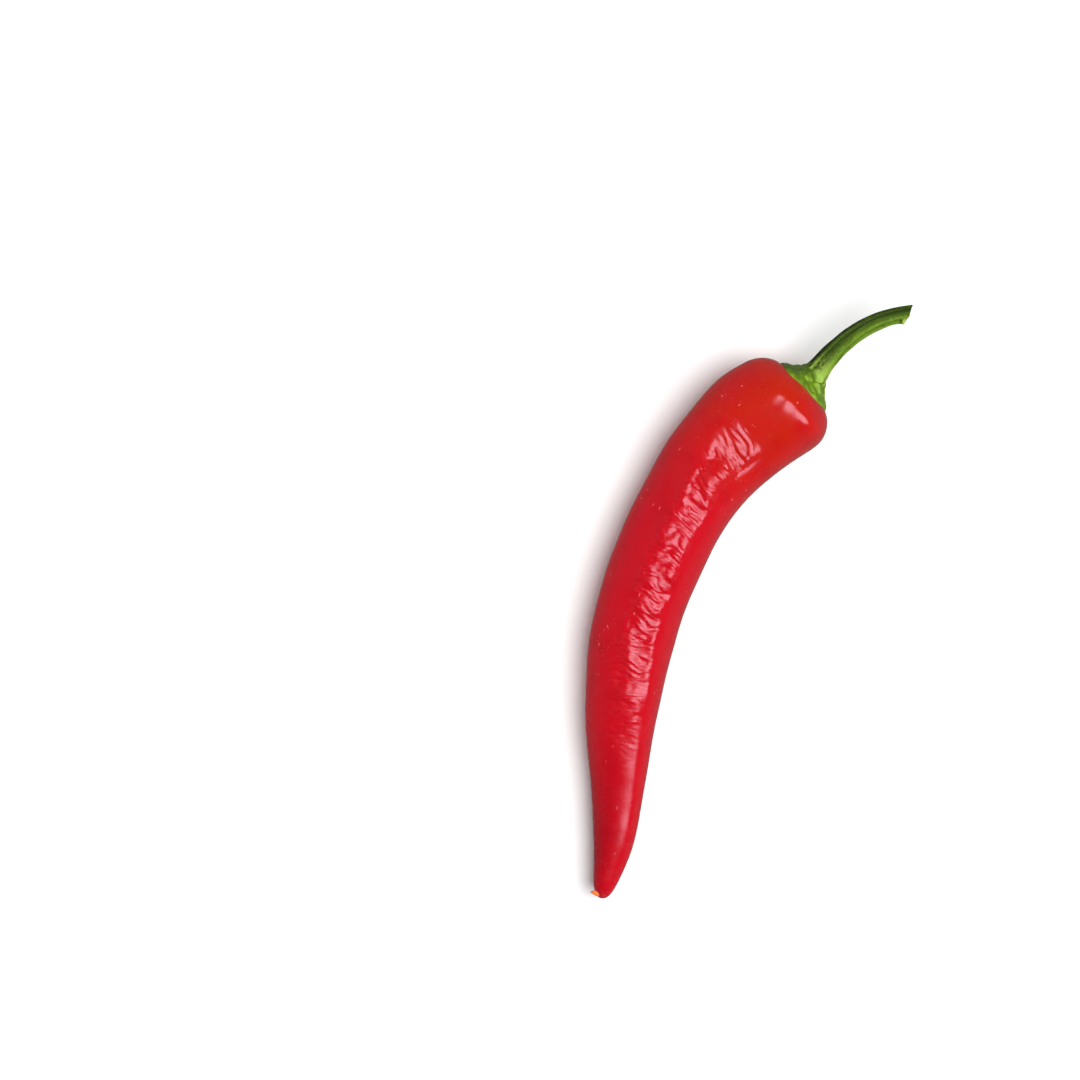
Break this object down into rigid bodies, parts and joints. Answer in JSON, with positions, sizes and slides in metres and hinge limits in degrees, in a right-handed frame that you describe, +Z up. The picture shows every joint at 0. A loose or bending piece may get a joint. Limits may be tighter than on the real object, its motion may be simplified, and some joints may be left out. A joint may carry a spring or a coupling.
{
  "type": "chilli pepper",
  "caption": "Long curved red chilli pepper, as picked, with its green calyx and cut stem, lying on its side.",
  "frame": {"origin": "under the middle of the pepper's box, on the surface that it lies on", "axes": "+Y from the tip towards the stem, +X towards the hollow side of the bend, +Z up from the surface"},
  "size_m": [0.0496, 0.1782, 0.0278],
  "materials": {
    "pod_skin": "waxy scarlet skin, glossy, with fine wrinkles across its top",
    "calyx_green": "fresh light green, lumpy and satin",
    "stem_green": "dark green, ribbed along its length, satin",
    "dried_style": "dry and orange, matte"
  },
  "bodies": {
    "root": {"pod": "pod_skin", "calyx": "calyx_green", "stem": "stem_green", "style_remnant": "dried_style"}
  },
  "joints": []
}
